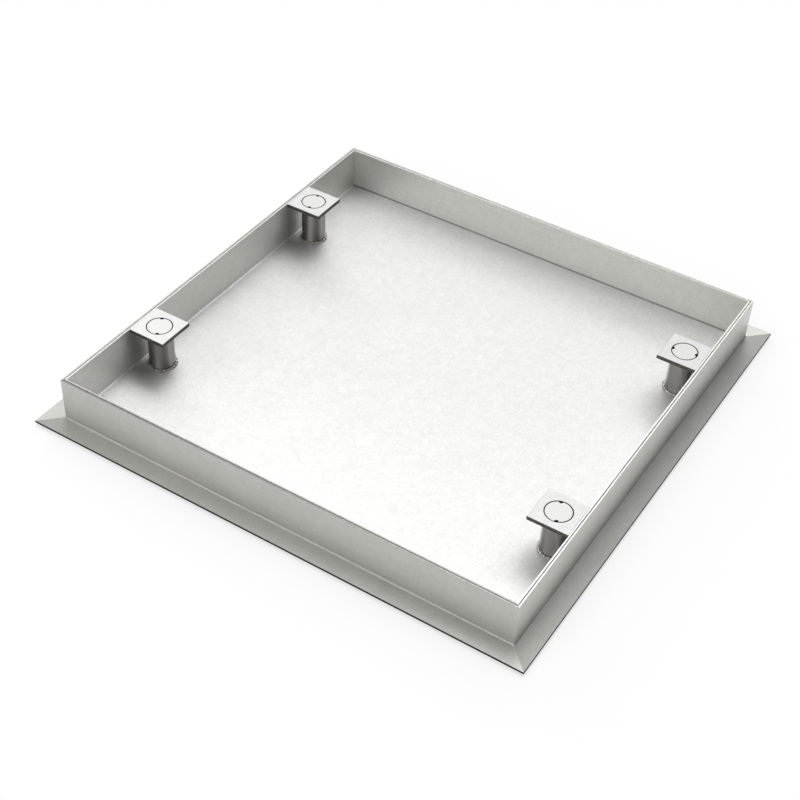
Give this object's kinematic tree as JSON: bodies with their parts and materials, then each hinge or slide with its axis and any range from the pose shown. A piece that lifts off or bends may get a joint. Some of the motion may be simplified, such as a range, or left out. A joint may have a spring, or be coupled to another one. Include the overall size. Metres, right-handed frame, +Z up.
{
  "type": "recessed inspection cover",
  "caption": "Square stainless inspection cover: flanged frame and lift-out tray for paving, with lifting plates on tubes and round notched plugs.",
  "frame": {"origin": "middle of the frame, on the surface that its seat bars stand on", "axes": "+Z up out of the ground; X and Y along the walls, with the lifting points by the X walls"},
  "size_m": [0.65, 0.65, 0.063],
  "materials": {
    "frame_steel": "2B stainless sheet, satin and slightly glossy",
    "seat_steel": "stainless flat bar",
    "seal_rubber": "soft black EPDM",
    "tray_steel": "2B stainless sheet, satin and slightly glossy",
    "plate_steel": "fine ground stainless plate",
    "tube_steel": "polished stainless tube",
    "weld_metal": "bright, uneven weld bead",
    "plug_steel": "turned stainless steel",
    "socket_steel": "turned stainless steel"
  },
  "bodies": {
    "root": {"frame_rail_front": "frame_steel", "seat_bar_front": "seat_steel", "frame_rail_right": "frame_steel", "seat_bar_right": "seat_steel", "frame_rail_back": "frame_steel", "seat_bar_back": "seat_steel", "frame_rail_left": "frame_steel", "seat_bar_left": "seat_steel", "seat_seal": "seal_rubber", "tray": "tray_steel", "tube_welds": "weld_metal", "lifting_plate_left_front": "plate_steel", "lifting_tube_left_front": "tube_steel", "plug_left_front": "plug_steel", "lifting_socket_left_front": "socket_steel", "lifting_plate_left_back": "plate_steel", "lifting_tube_left_back": "tube_steel", "plug_left_back": "plug_steel", "lifting_socket_left_back": "socket_steel", "lifting_plate_right_front": "plate_steel", "lifting_tube_right_front": "tube_steel", "plug_right_front": "plug_steel", "lifting_socket_right_front": "socket_steel", "lifting_plate_right_back": "plate_steel", "lifting_tube_right_back": "tube_steel", "plug_right_back": "plug_steel", "lifting_socket_right_back": "socket_steel"}
  },
  "joints": []
}
